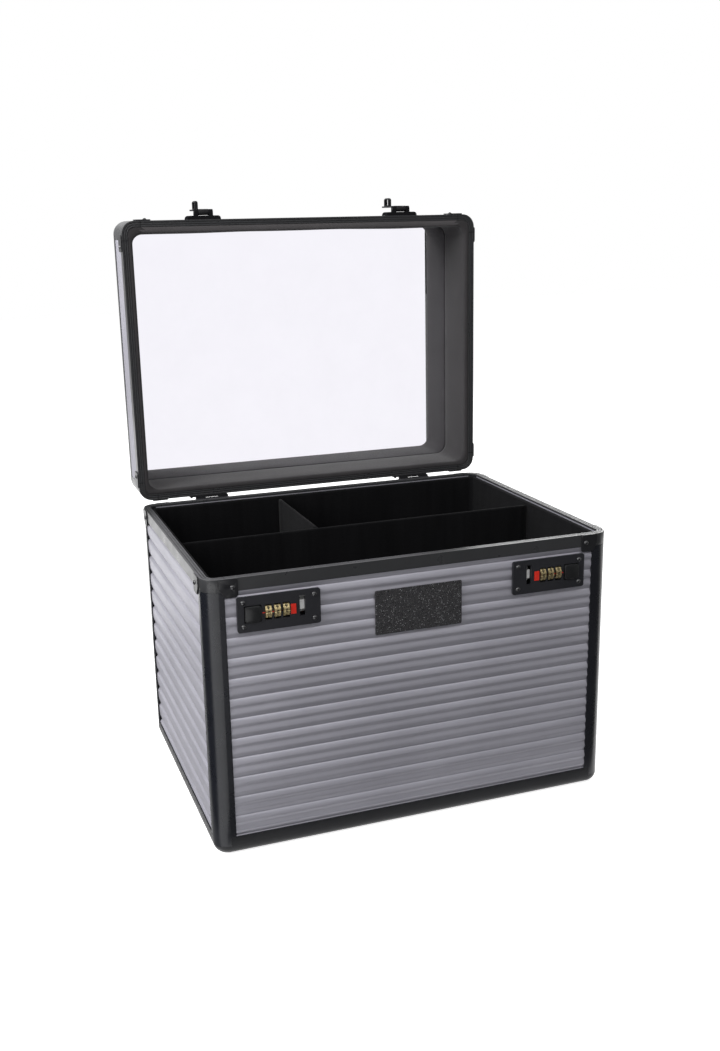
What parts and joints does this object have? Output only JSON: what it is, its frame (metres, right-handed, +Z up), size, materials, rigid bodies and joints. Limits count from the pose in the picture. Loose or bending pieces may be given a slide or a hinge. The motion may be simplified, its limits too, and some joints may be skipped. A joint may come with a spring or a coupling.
{
  "type": "grooming box",
  "caption": "Hinged grooming box: ribbed silver panels in a black round-edged frame, felt-lined compartments, mirror in the lid, combination locks with hasps and a carry handle",
  "frame": {"origin": "middle of the underside of the case, on the floor it stands on", "axes": "+Z up, front with the locks towards -Y, +X to the right seen from the front; stored with the lid open"},
  "size_m": [0.4052, 0.3902, 0.5817],
  "materials": {
    "frame": "satin black anodised extrusion",
    "rim": "satin black anodised extrusion with fine grooves",
    "panel": "silver grey ribbed laminate, low sheen",
    "underside": "grained black sheet",
    "lining": "short black felt",
    "lid_lining": "dark warm grey felt",
    "mirror": "silvered sheet",
    "hardware": "black enamel on pressed steel",
    "rivet": "black enamel, polished by wear",
    "badge": "black sheet with fine glitter",
    "pin": "bright drawn steel",
    "spring": "bright spring wire",
    "lock": "black crackle enamel",
    "lock_case": "dark grey sheet",
    "dial": "brushed brass with dark digits",
    "button": "fine matte black",
    "catch": "bright plated steel",
    "reset": "glossy red",
    "handle": "black grip with fine grain"
  },
  "bodies": {
    "case": {"corner_posts": "frame", "bottom_rails": "frame", "bottom_corners": "frame", "body_rim": "rim", "front_panel": "panel", "right_panel": "panel", "back_panel": "panel", "left_panel": "panel", "bottom_panel": "underside", "wall_liner": "lining", "floor_pad": "lining", "long_divider": "lining", "short_divider": "lining", "body_brackets": "hardware", "body_rivets": "rivet", "badge_plate": "badge", "hinge_body_leaves": "hardware", "hinge_pins": "pin", "lock_plate_left": "lock", "lock_plate_right": "lock", "lock_case_left": "lock_case", "lock_case_right": "lock_case", "dial_axles": "pin", "lock_rivets": "rivet", "lock_spring_left": "spring", "lock_spring_right": "spring"},
    "lid": {"lid_rim": "rim", "lid_posts": "frame", "lid_top_rails": "frame", "lid_top_corners": "frame", "lid_front_panel": "panel", "lid_right_panel": "panel", "lid_back_panel": "panel", "lid_left_panel": "panel", "lid_top_panel": "panel", "lid_liner": "lid_lining", "mirror": "mirror", "lid_brackets": "hardware", "lid_rivets": "rivet", "hinge_lid_leaves": "hardware", "hasp_base_left": "hardware", "hasp_base_right": "hardware", "handle_brackets": "hardware", "lid_pins": "pin"},
    "hasp_flap_left": {"hasp_flap_left": "hardware"},
    "hasp_flap_right": {"hasp_flap_right": "hardware"},
    "handle": {"handle_grip": "handle"},
    "dial_left_1": {"dial_left_1": "dial"},
    "dial_left_2": {"dial_left_2": "dial"},
    "dial_left_3": {"dial_left_3": "dial"},
    "release_button_left": {"release_button_left": "button"},
    "lock_catch_left": {"lock_catch_left": "catch"},
    "reset_button_left": {"reset_button_left": "reset"},
    "dial_right_1": {"dial_right_1": "dial"},
    "dial_right_2": {"dial_right_2": "dial"},
    "dial_right_3": {"dial_right_3": "dial"},
    "release_button_right": {"release_button_right": "button"},
    "lock_catch_right": {"lock_catch_right": "catch"},
    "reset_button_right": {"reset_button_right": "reset"}
  },
  "joints": [
    {"name": "lid_hinge", "type": "hinge", "parent": "case", "child": "lid", "pos_m": [0, 0.1533, 0.2612], "axis": [1, 0, 0], "range_deg": [0, 90.5]},
    {"name": "hasp_left_hinge", "type": "hinge", "parent": "lid", "child": "hasp_flap_left", "pos_m": [-0.112, 0.16629, 0.5698], "axis": [1, 0, 0], "range_deg": [0, 180]},
    {"name": "hasp_right_hinge", "type": "hinge", "parent": "lid", "child": "hasp_flap_right", "pos_m": [0.112, 0.16629, 0.5698], "axis": [1, 0, 0], "range_deg": [0, 180]},
    {"name": "handle_hinge", "type": "hinge", "parent": "lid", "child": "handle", "pos_m": [0, 0.2312, 0.42183], "axis": [1, 0, 0], "range_deg": [0, 180]},
    {"name": "dial_left_1_turn", "type": "hinge", "parent": "case", "child": "dial_left_1", "pos_m": [-0.1432, -0.1456, 0.231], "axis": [1, 0, 0], "continuous": true},
    {"name": "dial_left_2_turn", "type": "hinge", "parent": "case", "child": "dial_left_2", "pos_m": [-0.13505, -0.1456, 0.231], "axis": [1, 0, 0], "continuous": true},
    {"name": "dial_left_3_turn", "type": "hinge", "parent": "case", "child": "dial_left_3", "pos_m": [-0.1269, -0.1456, 0.231], "axis": [1, 0, 0], "continuous": true},
    {"name": "release_button_left_press", "type": "slide", "parent": "case", "child": "release_button_left", "axis": [0, 1, 0], "range_m": [0, 0.002], "stiffness_N_per_m": 600, "springref_m": -0.001, "deforming": ["lock_spring_left"]},
    {"name": "lock_catch_left_slide", "type": "slide", "parent": "case", "child": "lock_catch_left", "axis": [1, 0, 0], "range_m": [0, 0.0044]},
    {"name": "reset_button_left_press", "type": "slide", "parent": "case", "child": "reset_button_left", "axis": [0, 1, 0], "range_m": [0, 0.001], "stiffness_N_per_m": 400, "springref_m": -0.001},
    {"name": "dial_right_1_turn", "type": "hinge", "parent": "case", "child": "dial_right_1", "pos_m": [0.1432, -0.1456, 0.231], "axis": [1, 0, 0], "continuous": true},
    {"name": "dial_right_2_turn", "type": "hinge", "parent": "case", "child": "dial_right_2", "pos_m": [0.13505, -0.1456, 0.231], "axis": [1, 0, 0], "continuous": true},
    {"name": "dial_right_3_turn", "type": "hinge", "parent": "case", "child": "dial_right_3", "pos_m": [0.1269, -0.1456, 0.231], "axis": [1, 0, 0], "continuous": true},
    {"name": "release_button_right_press", "type": "slide", "parent": "case", "child": "release_button_right", "axis": [0, 1, 0], "range_m": [0, 0.002], "stiffness_N_per_m": 600, "springref_m": -0.001, "deforming": ["lock_spring_right"]},
    {"name": "lock_catch_right_slide", "type": "slide", "parent": "case", "child": "lock_catch_right", "axis": [-1, 0, 0], "range_m": [0, 0.0044]},
    {"name": "reset_button_right_press", "type": "slide", "parent": "case", "child": "reset_button_right", "axis": [0, 1, 0], "range_m": [0, 0.001], "stiffness_N_per_m": 400, "springref_m": -0.001}
  ],
  "couplings": [
    {"joint": "lock_catch_left_slide", "follows": "release_button_left_press", "ratio": 2.2},
    {"joint": "lock_catch_right_slide", "follows": "release_button_right_press", "ratio": 2.2}
  ]
}
